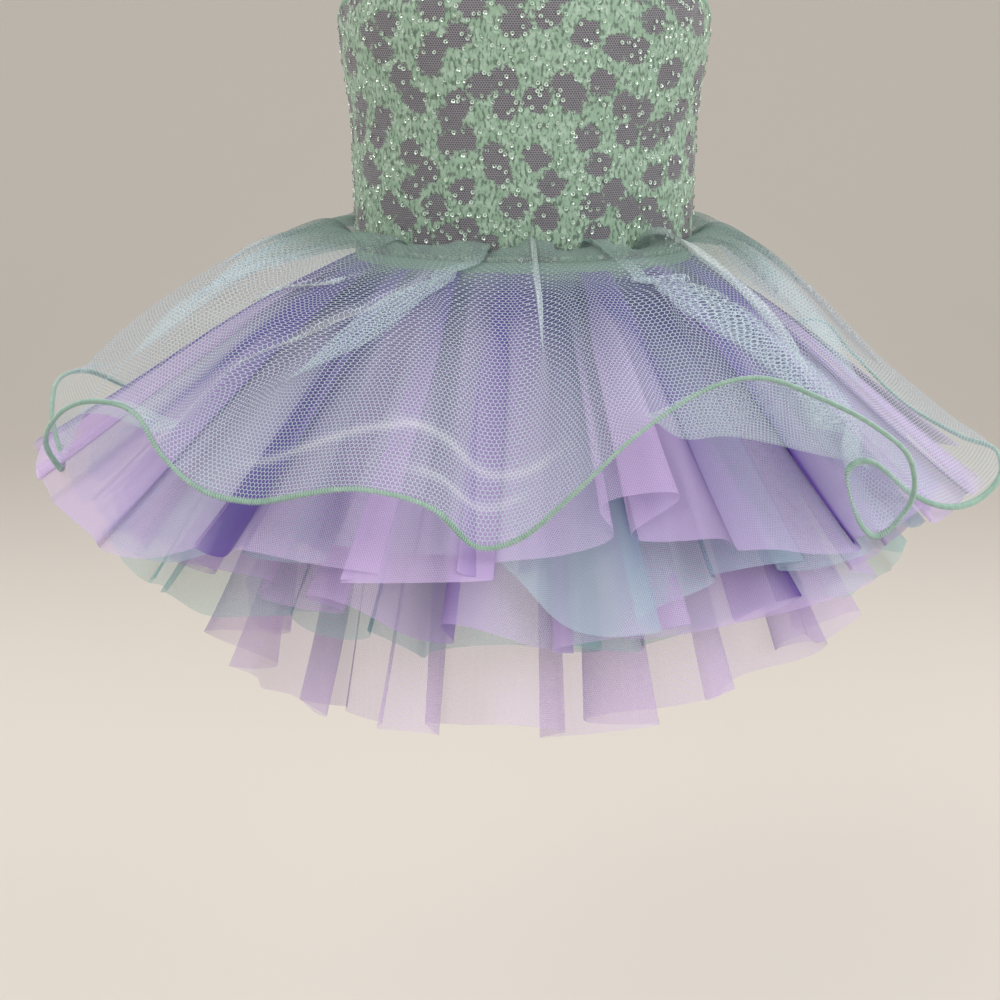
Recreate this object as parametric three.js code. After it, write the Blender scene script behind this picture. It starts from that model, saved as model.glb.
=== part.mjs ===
// Ballet costume for a child: a sleeveless lace bodice and a brief, joined at the waist seam, with a
// gathered net overskirt over five gathered tulle tiers.
//
// Millimetres, +Z up. The origin is the centre of the waist seam, and the front of the costume faces -Y.
// An azimuth is an angle round the body: 0 at the centre front, a quarter turn at the +X side seam.

import * as THREE from "three";

// ---- Driving dimensions ----

const SEAM_GAP = 0.3;
const WAIST_HALF_WIDTH = 98;
const WAIST_HALF_DEPTH = 75;
const LACE_WALL = 1.5;
const NET_WALL = 1.0;
const STRAP_WALL = 1.5;
const STRAP_WIDTH = 11;
const STRAP_RISE = 48;
const STRAP_AZIMUTH = 41.25;
const STRAP_TWIST = 0.61; // how far a strap turns to lie along the bodice at its two ends
const TIER_START_REACH = 0.85;
const ROLLED_EDGE_WIDTH = 4.4;
const ROLLED_EDGE_HEIGHT = 2.0;

// Steps of the meshes: columns run round half of the body, rows run down the cloth.
const TIER_COLUMNS = 44;
const TIER_ROWS = 4;
const OVERSKIRT_ROWS = 7;
const BODICE_COLUMNS = 24;
const BODICE_ROWS = 6;
const BRIEF_COLUMNS = 16;
const STRAP_STEPS = 14;
const ROLLED_EDGE_SIDES = 6;

// The torso of a general figure, by height above the waist seam.
const TORSO = [
  { height: 0, halfWidth: 98, halfDepth: 75 },
  { height: 60, halfWidth: 99, halfDepth: 77 },
  { height: 130, halfWidth: 106, halfDepth: 80 },
  { height: 185, halfWidth: 96, halfDepth: 70 },
];

// The bodice's upper edge, by azimuth in degrees from the centre front to the centre back.
const BODICE_EDGE = [
  { azimuth: 0, height: 150 },
  { azimuth: 18, height: 157 },
  { azimuth: 36, height: 182 },
  { azimuth: 46, height: 182 },
  { azimuth: 68, height: 142 },
  { azimuth: 90, height: 128 },
  { azimuth: 112, height: 134 },
  { azimuth: 133, height: 166 },
  { azimuth: 145, height: 166 },
  { azimuth: 162, height: 126 },
  { azimuth: 180, height: 116 },
];

// The brief, by depth below the waist seam. cutHalfWidth is what the leg openings leave of the width.
const BRIEF = [
  { drop: SEAM_GAP, halfWidth: 98, halfDepth: 75, cutHalfWidth: 98 },
  { drop: 26, halfWidth: 98, halfDepth: 75, cutHalfWidth: 98 },
  { drop: 52, halfWidth: 102, halfDepth: 78, cutHalfWidth: 102 },
  { drop: 78, halfWidth: 105, halfDepth: 80, cutHalfWidth: 105 },
  { drop: 104, halfWidth: 105, halfDepth: 79, cutHalfWidth: 76 },
  { drop: 132, halfWidth: 103, halfDepth: 71, cutHalfWidth: 43 },
  { drop: 156, halfWidth: 101, halfDepth: 49, cutHalfWidth: 30 },
  { drop: 169, halfWidth: 100, halfDepth: 22, cutHalfWidth: 27 },
  { drop: 170, halfWidth: 100, halfDepth: 0, cutHalfWidth: 27 },
];

// The tiers, outermost first. seat is the depth of the gathering line on the brief, fall the angle below
// level at which the cloth stands out, and length the cut depth of the cloth. lean is by how much more a
// tier falls at its +X side than at its -X side, halved. The flutes swing by an angle that all tiers share,
// so that they nest, times sharing, and by a smaller one of each tier's own.
const TIERS = [
  {
    name: "tier_1_lilac", slot: "tulle_lilac", seat: 6, sharing: 0.4, ownFlutes: 22, phase: 0.4,
    frontFall: 37.8, sideFall: 33.5, lean: 3.5, frontLength: 198, sideLength: 218,
  },
  {
    name: "tier_2_aqua", slot: "tulle_aqua", seat: 10, sharing: 0.7, ownFlutes: 23, phase: 1.9,
    frontFall: 44, sideFall: 39.8, lean: 2.6, frontLength: 191, sideLength: 202,
  },
  {
    name: "tier_3_lilac", slot: "tulle_lilac", seat: 14, sharing: 0.95, ownFlutes: 21, phase: 3.3,
    frontFall: 50.4, sideFall: 45.8, lean: 2.2, frontLength: 191, sideLength: 196,
  },
  {
    name: "tier_4_mint", slot: "tulle_mint", seat: 18, sharing: 1.15, ownFlutes: 24, phase: 4.6,
    frontFall: 58, sideFall: 51.8, lean: 1.8, frontLength: 203, sideLength: 208,
  },
  {
    name: "tier_5_lilac", slot: "tulle_lilac", seat: 22, sharing: 1.35, ownFlutes: 25, phase: 0.9,
    frontFall: 67, sideFall: 69, lean: -2, frontLength: 238, sideLength: 226,
  },
];
const TIER_SPRING = 9; // degrees by which a tier stands out flatter where it leaves the waist
const SHARED_FLUTES = 17;
const SHARED_SWING = 4.5; // degrees
const OWN_SWING = 1.2; // degrees
const LOPSIDEDNESS = 0.02; // share by which a tier is longer at its -X side, and shorter at its +X side

// The overskirt. It leaves the waist just above the seam, puffs up, and ends in broad hem waves.
const OVERSKIRT_SEAT = 3; // above the waist seam
const OVERSKIRT_PUFF = 13; // degrees above level at the gathering line
const OVERSKIRT_BULGE = 32; // degrees, times the shares of the cloth above and below: rounds the skirt out
const OVERSKIRT_CURVE = 1.2; // above 1, the waves grow faster towards the hem

// The hem waves, by azimuth in degrees. Every row is a crest or a trough: fall is its angle below level
// from the waist, and length the cut depth of the net there.
const HEM_WAVES = [
  { azimuth: -180, fall: 26, length: 206 },
  { azimuth: -163, fall: 32, length: 205 },
  { azimuth: -145, fall: 26, length: 208 },
  { azimuth: -126, fall: 31, length: 208 },
  { azimuth: -104, fall: 25.5, length: 206 },
  { azimuth: -84, fall: 26.5, length: 208 },
  { azimuth: -52, fall: 16, length: 205 },
  { azimuth: -35, fall: 29, length: 206 },
  { azimuth: -17, fall: 25, length: 205 },
  { azimuth: -5.5, fall: 34, length: 205 },
  { azimuth: 24, fall: 9, length: 204 },
  { azimuth: 56, fall: 33, length: 208 },
  { azimuth: 72, fall: 30, length: 213 },
  { azimuth: 86, fall: 33, length: 216 },
  { azimuth: 130, fall: 23, length: 207 },
  { azimuth: 147, fall: 32, length: 206 },
  { azimuth: 163, fall: 27, length: 205 },
  { azimuth: 172, fall: 31, length: 205 },
  { azimuth: 180, fall: 26, length: 206 },
];

// ---- Materials ----

function cloth(color, roughness) {
  return new THREE.MeshStandardMaterial({ color, roughness, metalness: 0, side: THREE.DoubleSide });
}

const MATERIALS = {
  lace: cloth(0x8fae98, 0.6),
  brief: cloth(0x9db8a8, 0.7),
  net_mint: cloth(0xb9d0c6, 0.75),
  satin_stitch: cloth(0x9ed2ba, 0.4),
  tulle_lilac: cloth(0xb8a2d6, 0.8),
  tulle_aqua: cloth(0xa3bed2, 0.8),
  tulle_mint: cloth(0xa9cfc9, 0.8),
};

// ---- Sums ----

const radians = THREE.MathUtils.degToRad;
const mix = THREE.MathUtils.lerp;

/** A column of a table at a place between its rows, eased so that every row is a crest, trough or level. */
function tableValue(rows, key, place, column) {
  const after = rows.findIndex((row) => row[key] >= place);
  if (after === -1) return rows[rows.length - 1][column];
  if (after === 0) return rows[0][column];
  const low = rows[after - 1];
  const high = rows[after];
  const share = (place - low[key]) / (high[key] - low[key]);
  return mix(low[column], high[column], (1 - Math.cos(Math.PI * share)) / 2);
}

/** A point of an oval at an azimuth in radians, and the direction straight out of it. */
function oval(halfWidth, halfDepth, azimuth) {
  const out = new THREE.Vector2(halfDepth * Math.sin(azimuth), -halfWidth * Math.cos(azimuth)).normalize();
  return { x: halfWidth * Math.sin(azimuth), y: -halfDepth * Math.cos(azimuth), out };
}

/** How far an azimuth is from the centre front, either way round: 0 to 180 degrees. */
function degreesFromFront(azimuth) {
  return THREE.MathUtils.radToDeg(Math.acos(Math.cos(azimuth)));
}

/** How far round to the side an azimuth is: 0 at the centre front and back, 1 at the side seams. */
function sideShare(azimuth) {
  return Math.sin(azimuth) ** 2;
}

// ---- Solids ----

/** A closed mesh from its corners and its quads, each a list of corners that turns left seen from outside. */
function closedMesh(corners, quads) {
  const triangles = quads.flatMap(([a, b, c, d]) => [a, b, c, a, c, d]);
  const geometry = new THREE.BufferGeometry();
  geometry.setAttribute("position", new THREE.Float32BufferAttribute(corners.flatMap((p) => p.toArray()), 3));
  geometry.setIndex(triangles);
  geometry.computeVertexNormals();
  return geometry;
}

/** The direction out of a surface(across, down), both from 0 to 1. */
function outwardAt(surface, across, down) {
  const step = 1e-3;
  const [left, right] = [Math.max(across - step, 0), Math.min(across + step, 1)];
  const [above, below] = [Math.max(down - step, 0), Math.min(down + step, 1)];
  const alongDown = surface(across, below).sub(surface(across, above));
  const alongAcross = surface(right, down).sub(surface(left, down));
  return alongDown.cross(alongAcross).normalize();
}

/** A wall of cloth on a surface(across, down), so far outside it and so far inside, closed at its edges. */
function clothWall(surface, columns, rows, outside, inside) {
  const corners = [];
  const outer = (i, j) => 2 * (i * (rows + 1) + j);
  const inner = (i, j) => outer(i, j) + 1;
  for (let i = 0; i <= columns; i++) {
    for (let j = 0; j <= rows; j++) {
      const point = surface(i / columns, j / rows);
      const outward = outwardAt(surface, i / columns, j / rows);
      corners.push(point.clone().addScaledVector(outward, outside));
      corners.push(point.clone().addScaledVector(outward, -inside));
    }
  }
  const quads = [];
  for (let i = 0; i < columns; i++) {
    for (let j = 0; j < rows; j++) {
      quads.push([outer(i, j), outer(i, j + 1), outer(i + 1, j + 1), outer(i + 1, j)]);
      quads.push([inner(i, j), inner(i + 1, j), inner(i + 1, j + 1), inner(i, j + 1)]);
    }
    quads.push([outer(i, 0), outer(i + 1, 0), inner(i + 1, 0), inner(i, 0)]);
    quads.push([outer(i + 1, rows), outer(i, rows), inner(i, rows), inner(i + 1, rows)]);
  }
  for (let j = 0; j < rows; j++) {
    quads.push([outer(0, j + 1), outer(0, j), inner(0, j), inner(0, j + 1)]);
    quads.push([outer(columns, j), outer(columns, j + 1), inner(columns, j + 1), inner(columns, j)]);
  }
  return closedMesh(corners, quads);
}

/** A bar through rings of the same number of corners, closed by a fan at each end. */
function closedBar(rings) {
  const sides = rings[0].length;
  const corner = (i, k) => i * sides + (k % sides);
  const quads = [];
  for (let i = 0; i + 1 < rings.length; i++) {
    for (let k = 0; k < sides; k++) {
      quads.push([corner(i, k), corner(i + 1, k), corner(i + 1, k + 1), corner(i, k + 1)]);
    }
  }
  const last = rings.length - 1;
  for (let k = 1; k + 2 < sides; k += 2) {
    quads.push([corner(0, 0), corner(0, k), corner(0, k + 1), corner(0, k + 2)]);
    quads.push([corner(last, k + 2), corner(last, k + 1), corner(last, k), corner(last, 0)]);
  }
  return closedMesh(rings.flat(), quads);
}

// ---- The costume's surfaces, as functions of an azimuth in radians and a share of the way down ----

function bodicePoint(azimuth, down) {
  const top = tableValue(BODICE_EDGE, "azimuth", degreesFromFront(azimuth), "height");
  const height = mix(top, 0, down);
  const halfWidth = tableValue(TORSO, "height", height, "halfWidth");
  const halfDepth = tableValue(TORSO, "height", height, "halfDepth");
  const edge = oval(halfWidth, halfDepth, azimuth);
  return new THREE.Vector3(edge.x, edge.y, height);
}

/** The brief's front on +1 or back on -1. across runs from -1 to 1 over what the leg openings leave. */
function briefPoint(front, across, down) {
  const row = down * (BRIEF.length - 1);
  const low = BRIEF[Math.floor(row)];
  const high = BRIEF[Math.min(Math.floor(row) + 1, BRIEF.length - 1)];
  const at = (column) => mix(low[column], high[column], row % 1);
  const x = at("cutHalfWidth") * Math.sin((across * Math.PI) / 2);
  const round = Math.sqrt(Math.max(0, 1 - (x / at("halfWidth")) ** 2));
  return new THREE.Vector3(front * x, -front * at("halfDepth") * round, -at("drop"));
}

/** The swing of the flutes that the tiers share, in degrees: uneven in spacing and in depth. */
function sharedFlute(azimuth) {
  const evenness = 0.8 + 0.2 * Math.sin(3 * azimuth + 0.8);
  return SHARED_SWING * evenness * Math.sin(SHARED_FLUTES * azimuth + 0.9 * Math.sin(2 * azimuth + 0.5));
}

function tierPoint(tier, azimuth, down) {
  const side = sideShare(azimuth);
  const standing = mix(tier.frontFall, tier.sideFall, side) + tier.lean * Math.sin(azimuth);
  const ownFlute = OWN_SWING * Math.sin(tier.ownFlutes * azimuth + tier.phase);
  const flutes = tier.sharing * sharedFlute(azimuth) + ownFlute;
  const fall = radians(standing - TIER_SPRING * (1 - down) ** 2 + flutes);
  const length = mix(tier.frontLength, tier.sideLength, side) * (1 - LOPSIDEDNESS * Math.sin(azimuth));
  const along = length * down;
  const edge = oval(WAIST_HALF_WIDTH, WAIST_HALF_DEPTH, azimuth);
  const reach = TIER_START_REACH + along * Math.cos(fall);
  const height = -tier.seat - along * Math.sin(fall);
  return new THREE.Vector3(edge.x + edge.out.x * reach, edge.y + edge.out.y * reach, height);
}

function overskirtPoint(azimuth, down) {
  const place = THREE.MathUtils.euclideanModulo(THREE.MathUtils.radToDeg(azimuth) + 180, 360) - 180;
  const hemFall = tableValue(HEM_WAVES, "azimuth", place, "fall");
  const wave = hemFall * down ** OVERSKIRT_CURVE;
  const fall = radians(wave + OVERSKIRT_BULGE * down * (1 - down) ** 2 - OVERSKIRT_PUFF * (1 - down) ** 2);
  const along = tableValue(HEM_WAVES, "azimuth", place, "length") * down;
  const edge = oval(WAIST_HALF_WIDTH, WAIST_HALF_DEPTH, azimuth);
  const reach = TIER_START_REACH + along * Math.cos(fall);
  const height = OVERSKIRT_SEAT - along * Math.sin(fall);
  return new THREE.Vector3(edge.x + edge.out.x * reach, edge.y + edge.out.y * reach, height);
}

/** A strap from the front of the bodice over the shoulder to its back, on the +X or the -X side. */
function strapPoint(side, along, across) {
  const azimuth = radians(STRAP_AZIMUTH);
  const front = bodicePoint(azimuth, 0);
  const back = bodicePoint(Math.PI - azimuth, 0);
  const turn = Math.PI * along;
  const middle = new THREE.Vector3(
    mix(front.x, back.x, along),
    mix(front.y, back.y, (1 - Math.cos(turn)) / 2),
    mix(front.z, back.z, along) + SEAM_GAP + STRAP_RISE * Math.sin(turn),
  );
  const acrossStrap = new THREE.Vector3(1, STRAP_TWIST * Math.cos(turn), 0).normalize();
  middle.addScaledVector(acrossStrap, STRAP_WIDTH * (across - 0.5));
  middle.x *= side;
  return middle;
}

// ---- The two halves: each piece is cut as a front and a back, a seam gap apart at the sides ----

const HALVES = [
  { name: "front", centre: 0, shift: -SEAM_GAP / 2 },
  { name: "back", centre: Math.PI, shift: SEAM_GAP / 2 },
];

const azimuthIn = (half, across) => half.centre + (across - 0.5) * Math.PI;

const costume = new THREE.Group();

function addPiece(name, geometry, slot, shift = 0) {
  geometry.translate(0, shift, 0);
  const mesh = new THREE.Mesh(geometry, MATERIALS[slot]);
  mesh.name = name;
  costume.add(mesh);
}

function addBodice(half) {
  const surface = (across, down) => bodicePoint(azimuthIn(half, across), down);
  const wall = clothWall(surface, BODICE_COLUMNS, BODICE_ROWS, 0, LACE_WALL);
  addPiece(`bodice_${half.name}`, wall, "lace", half.shift);
}

function addBrief(half) {
  const front = half.centre === 0 ? 1 : -1;
  const surface = (across, down) => briefPoint(front, 2 * across - 1, down);
  const wall = clothWall(surface, BRIEF_COLUMNS, BRIEF.length - 1, 0, LACE_WALL);
  addPiece(`brief_${half.name}`, wall, "brief", half.shift);
}

function addStrap(name, side) {
  const surface = (across, down) => strapPoint(side, down, side > 0 ? across : 1 - across);
  const wall = clothWall(surface, 2, STRAP_STEPS, 0, STRAP_WALL);
  addPiece(name, wall, "lace");
}

function addTier(tier, half) {
  const surface = (across, down) => tierPoint(tier, azimuthIn(half, across), down);
  const wall = clothWall(surface, TIER_COLUMNS, TIER_ROWS, NET_WALL / 2, NET_WALL / 2);
  addPiece(`${tier.name}_${half.name}`, wall, tier.slot, half.shift);
}

function addOverskirt(half) {
  const surface = (across, down) => overskirtPoint(azimuthIn(half, across), down);
  const wall = clothWall(surface, TIER_COLUMNS, OVERSKIRT_ROWS, NET_WALL / 2, NET_WALL / 2);
  addPiece(`overskirt_net_${half.name}`, wall, "net_mint", half.shift);
}

/** The rolled edge: a flat band a seam gap beyond the overskirt's hem, in line with the net. */
function addRolledEdge(half) {
  const surface = (across, down) => overskirtPoint(azimuthIn(half, across), down);
  const rings = [];
  for (let i = 0; i <= TIER_COLUMNS; i++) {
    const across = i / TIER_COLUMNS;
    const hem = surface(across, 1);
    const onward = hem.clone().sub(surface(across, 0.999)).normalize();
    const outward = outwardAt(surface, across, 1);
    const ring = [];
    for (let k = 0; k < ROLLED_EDGE_SIDES; k++) {
      const turn = (2 * Math.PI * k) / ROLLED_EDGE_SIDES;
      const beyond = SEAM_GAP + (ROLLED_EDGE_WIDTH / 2) * (1 + Math.cos(turn));
      const above = (ROLLED_EDGE_HEIGHT / 2) * Math.sin(turn);
      ring.push(hem.clone().addScaledVector(onward, beyond).addScaledVector(outward, above));
    }
    rings.push(ring);
  }
  addPiece(`rolled_edge_${half.name}`, closedBar(rings), "satin_stitch", half.shift);
}

for (const half of HALVES) {
  addBodice(half);
  addBrief(half);
  addOverskirt(half);
  addRolledEdge(half);
  for (const tier of TIERS) addTier(tier, half);
}
addStrap("strap_left", 1);
addStrap("strap_right", -1);

export default costume;
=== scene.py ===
"""Ballet costume: a sequinned lace bodice, a sheer net overskirt with a rolled edge, and tulle tiers."""

import math

import bpy
import numpy as np
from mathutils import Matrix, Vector


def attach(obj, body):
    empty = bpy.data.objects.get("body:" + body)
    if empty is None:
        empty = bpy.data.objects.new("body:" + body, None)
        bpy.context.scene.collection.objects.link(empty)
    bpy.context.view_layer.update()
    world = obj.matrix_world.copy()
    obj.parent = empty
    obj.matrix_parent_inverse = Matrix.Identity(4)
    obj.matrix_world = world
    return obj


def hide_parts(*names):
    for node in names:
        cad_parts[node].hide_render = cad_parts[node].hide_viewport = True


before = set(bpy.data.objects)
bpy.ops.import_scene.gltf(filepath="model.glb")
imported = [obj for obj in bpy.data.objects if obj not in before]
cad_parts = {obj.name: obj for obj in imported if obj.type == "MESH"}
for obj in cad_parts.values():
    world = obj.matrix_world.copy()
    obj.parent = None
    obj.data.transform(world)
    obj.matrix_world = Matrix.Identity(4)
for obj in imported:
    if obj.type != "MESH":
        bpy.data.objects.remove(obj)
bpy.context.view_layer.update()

bl_info = {
    "name": "Ballet costume",
    "version": (1, 0, 0),
    "blender": (4, 5, 0),
    "location": "3D View > Sidebar > Costume",
    "description": "Makes a child's ballet costume of sequinned lace, stiff net and soft tulle",
    "category": "Add Mesh",
}

MM = 0.001

# The cut of the costume, in millimetres and degrees. An azimuth is 0 at the centre front and 90
# at the +X side seam. A fall is an angle below level, seen from the waist.

WAIST_HALF_WIDTH = 98.0
WAIST_HALF_DEPTH = 75.0
START_REACH = 0.85  # from the bodice out to the gathering line

TORSO = {  # by height above the waist seam
    "height": (0, 60, 130, 185),
    "half_width": (98, 99, 106, 96),
    "half_depth": (75, 77, 80, 70),
}

BODICE_EDGE = {  # the upper edge, by azimuth from the centre front to the centre back
    "azimuth": (0, 18, 36, 46, 68, 90, 112, 133, 145, 162, 180),
    "height": (150, 157, 182, 182, 142, 128, 134, 166, 166, 126, 116),
}

# The straps: where they leave the bodice, in degrees, and how far each turns to lie along it there.
STRAP = {"width": 11, "thickness": 1.5, "rise": 48, "azimuth": 41.25, "twist": 0.61, "tuck": 7}

BRIEF = {  # by depth below the waist seam
    "drop": (0.3, 26, 52, 78, 104, 132, 156, 169, 170),
    "half_width": (98, 98, 102, 105, 105, 103, 101, 100, 100),
    "half_depth": (75, 75, 78, 80, 79, 71, 49, 22, 0),
    "cut_half_width": (98, 98, 102, 105, 76, 43, 30, 27, 27),
}

# One row for each tulle tier, outermost first: where it is gathered below the waist, how far it
# falls, how deep it is cut, and how many pleats it has and how wide they are, in degrees.
TIER_COLUMNS = ("piece", "slot", "seat", "front_fall", "side_fall", "lean", "front_length",
                "side_length", "sharing", "pleats", "pleat_width", "seed", "closeness")
TIERS = (
    ("tier_1_lilac", "tulle_lilac", 6, 38.0, 34.5, 2.8, 199, 218, 0.40, 27, 3.6, 11, 1.15),
    ("tier_2_aqua", "tulle_aqua", 10, 44.0, 40.0, 2.6, 192, 202, 0.70, 24, 4.2, 25, 0.8),
    ("tier_3_lilac", "tulle_lilac", 14, 50.4, 45.8, 2.2, 191, 196, 0.95, 25, 4.0, 34, 0.85),
    ("tier_4_mint", "tulle_mint", 18, 58.0, 51.8, 1.8, 203, 208, 1.15, 22, 4.6, 47, 0.8),
    ("tier_5_lilac", "tulle_lilac", 22, 67.0, 69.0, -2.0, 238, 226, 1.35, 15, 4.4, 56, 0.6),
)
# The longest tier's pleats across the front: the azimuth, the width in degrees, how far
# the cloth doubles over, and by how many millimetres its hem steps there.
LONG_TIER_PLEATS = (
    (-61, 3.4, 1.9, 4.0),
    (-43, 4.6, 1.9, -3.0),
    (-34, 2.0, 1.6, 2.0),
    (-27, 1.8, 1.6, 2.0),
    (-18.5, 3.6, 1.7, -2.5),
    (3, 4.4, 1.8, 2.0),
    (18, 5.6, 1.9, -3.5),
    (36, 2.4, 1.8, 3.0),
    (58, 4.8, 1.8, -3.0),
)
# Where a tier is cut or hangs longer or shorter than its round: the azimuth, the spread and the mm.
TIER_DROOPS = {
    "tier_1_lilac": ((-54, 11, 16), (-14, 20, 16), (14, 13, -34), (62, 14, -6)),
    "tier_2_aqua": ((-18, 18, -20), (12, 8, 44), (-58, 10, 12)),
    "tier_3_lilac": ((4, 30, 23), (32, 10, 8), (52, 12, 8)),
    "tier_4_mint": ((-42, 7, -9), (50, 14, -14)),
    "tier_5_lilac": ((58, 16, -12),),
}
# The tiers' stripes: the azimuth, how far it drifts by the hem, half the width in degrees, and how far
# the cloth there is doubled, or below 0 lies single and lets the tier below it through.
TIER_STRIPES = {
    "tier_1_lilac": (
        (-88, 4, 5, 0.8), (-77, 4, 4, -0.7), (-66, 5, 4.5, 0.9), (-54, 6, 4.5, -1.0),
        (-44, 6, 3.5, 0.9), (-36, 8, 3.0, -0.9), (-30, 4, 2.4, -0.3), (-22, 5, 3.4, 1.0),
        (-17.5, 3, 1.7, -0.9), (-5, -2, 6.6, 1.0), (9.5, -2, 5.0, -1.0), (17.5, 0, 2.2, -0.5),
        (24, 3, 3.8, 1.0), (35, 6, 5.5, -1.0), (47, 2, 4.5, 0.6), (58, 0, 4.5, -0.8), (69, 0, 5.0, 0.9),
        (81, 0, 4.5, -0.5), (92, 0, 5.0, 0.9), (104, 3, 4.0, -0.9), (115, -3, 5.5, 0.9),
        (127, 2, 4.0, -0.8), (138, 0, 4.5, 1.0), (151, -4, 5.0, -1.0), (163, 0, 4.5, 0.8),
        (174, 3, 3.5, -0.9), (-176, 2, 3.5, 0.9), (-165, -3, 4.5, -0.8), (-153, 3, 5.5, 1.0),
        (-141, 0, 4.0, -1.0), (-130, -2, 4.5, 0.9), (-118, 3, 5.0, -0.8), (-107, 0, 4.0, 1.0),
        (-98, 0, 3.0, -0.9),
    ),
    "tier_2_aqua": (
        (-70, 0, 5, 0.8), (-52, 0, 4, 0.9), (-32, 0, 4, 0.8), (21, -16, 4.0, 1.0), (40, 0, 5, 0.8),
        (62, 0, 4, 0.7), (88, 0, 6, 0.8), (112, 0, 5, 0.9), (134, 0, 4, 0.8), (158, 0, 6, 0.9),
        (-176, 0, 5, 0.8), (-150, 0, 5, 0.9), (-124, 0, 4, 0.8), (-98, 0, 5, 0.9),
    ),
    "tier_3_lilac": (
        (-78, 0, 4, 0.9), (-60, 0, 3, 0.8), (-44, 0, 4, 1.0), (-31, 0, 3, 0.8), (-13, 0, 9.5, 1.0),
        (0.5, 0, 2.0, -0.6), (5.5, 0, 2.6, 1.0), (20, 0, 3, 0.7), (31, 0, 5, 0.9), (45, 0, 5, 1.0),
        (60, 0, 3, 0.7), (76, 0, 5, 0.9), (96, 0, 5, 1.0), (118, 0, 6, 0.9), (142, 0, 5, 1.0),
        (164, 0, 5, 0.8), (-172, 0, 5, 1.0), (-146, 0, 6, 0.9), (-120, 0, 5, 1.0), (-100, 0, 4, 0.8),
    ),
    "tier_4_mint": (),
    "tier_5_lilac": (),
}
TIER_SPRING = 9.0  # degrees by which a tier stands out flatter where it leaves the waist
SHARED_FLUTES = 17
SHARED_SWING = 4.5  # degrees
LOPSIDEDNESS = 0.02  # share by which a tier is longer at its -X side, and shorter at its +X side

# The overskirt's hem, going round from the centre back. share is the part of the cut that lies behind,
# and azimuth may turn back on itself, where the hem curls under the wave before it. lip is by how many
# degrees the cloth dips before its edge turns up, and swell by how many it sags on its way there.
HEM_COLUMNS = ("share", "azimuth", "fall", "length", "lip", "swell")
HEM_ROWS = (
    (0.000, -180, 26.0, 206, 0, 3),
    (0.047, -163, 32.0, 205, 0, 3),
    (0.097, -145, 26.0, 208, 2, 4),
    (0.145, -126, 33.0, 208, 0, 4),
    (0.178, -113, 33.0, 206, 0, 4),
    (0.205, -104, 26.5, 205, 4, 3),
    (0.230, -96, 26.0, 205, 4, 2),
    (0.252, -89, 29.0, 205, 0, 1),
    (0.272, -80, 34.5, 208, 0, 0),
    (0.288, -74.5, 33.5, 211, 0, 0),
    (0.302, -71, 28.0, 211, 2, 0),
    (0.322, -62, 20.5, 206, 8, 0),
    (0.348, -52, 16.3, 205, 13, 0),
    (0.366, -47, 17.5, 205, 8, 0),
    (0.381, -45, 23.5, 205, 2, 0),
    (0.396, -41.5, 28.5, 205, 0, 0),
    (0.416, -35, 29.5, 205, 0, 0),
    (0.452, -18.5, 25.3, 205, 0, 0),
    (0.470, -11.3, 28.0, 205, 0, 0),
    (0.487, -6.2, 35.5, 205, 0, 0),
    (0.502, -1, 33.5, 205, 0, 0),
    (0.518, 5, 25.5, 205, 0, 0),
    (0.537, 12.2, 15.7, 205, 3, 0),
    (0.555, 19.5, 9.8, 205, 14, 0),
    (0.570, 25, 9.0, 205, 15, 0),
    (0.588, 32, 12.3, 205, 14, 1),
    (0.610, 40.4, 17.7, 205, 12, 3),
    (0.633, 49.5, 26.5, 205, 8, 5),
    (0.648, 52.5, 33.5, 208, 3, 6),
    (0.663, 50, 39.0, 210, 0, 6),
    (0.677, 44.5, 35.0, 207, 0, 6),
    (0.690, 43.4, 29.5, 190, 0, 6),
    (0.702, 48, 29.5, 186, 0, 6),
    (0.717, 57.5, 36.0, 195, 0, 6),
    (0.731, 64, 38.0, 209, 0, 5),
    (0.747, 73, 37.5, 218, 0, 4),
    (0.759, 79, 35.0, 220, 2, 4),
    (0.770, 85, 34.0, 216, 2, 5),
    (0.790, 97, 36.0, 212, 0, 6),
    (0.812, 110, 35.0, 210, 0, 6),
    (0.842, 124, 28.0, 206, 2, 5),
    (0.862, 131, 22.8, 205, 4, 4),
    (0.882, 139, 26.5, 205, 2, 4),
    (0.910, 150, 33.0, 206, 0, 3),
    (0.950, 163, 27.0, 205, 0, 3),
    (0.977, 172, 31.0, 205, 0, 3),
    (1.000, 180, 26.0, 206, 0, 3),
)
HEM = dict(zip(HEM_COLUMNS, zip(*HEM_ROWS)))
HEM_TURN = 0.86  # how far down the cloth is at its lowest, where its edge turns up
OVERSKIRT_SEAT = 3.0  # above the waist seam
OVERSKIRT_PUFF = 13.0  # degrees above level at the gathering line
OVERSKIRT_BULGE = 32.0  # degrees, times the shares of the cloth above and below: rounds the skirt out
OVERSKIRT_CURVE = 1.2  # above 1, the waves grow faster towards the hem

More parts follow.
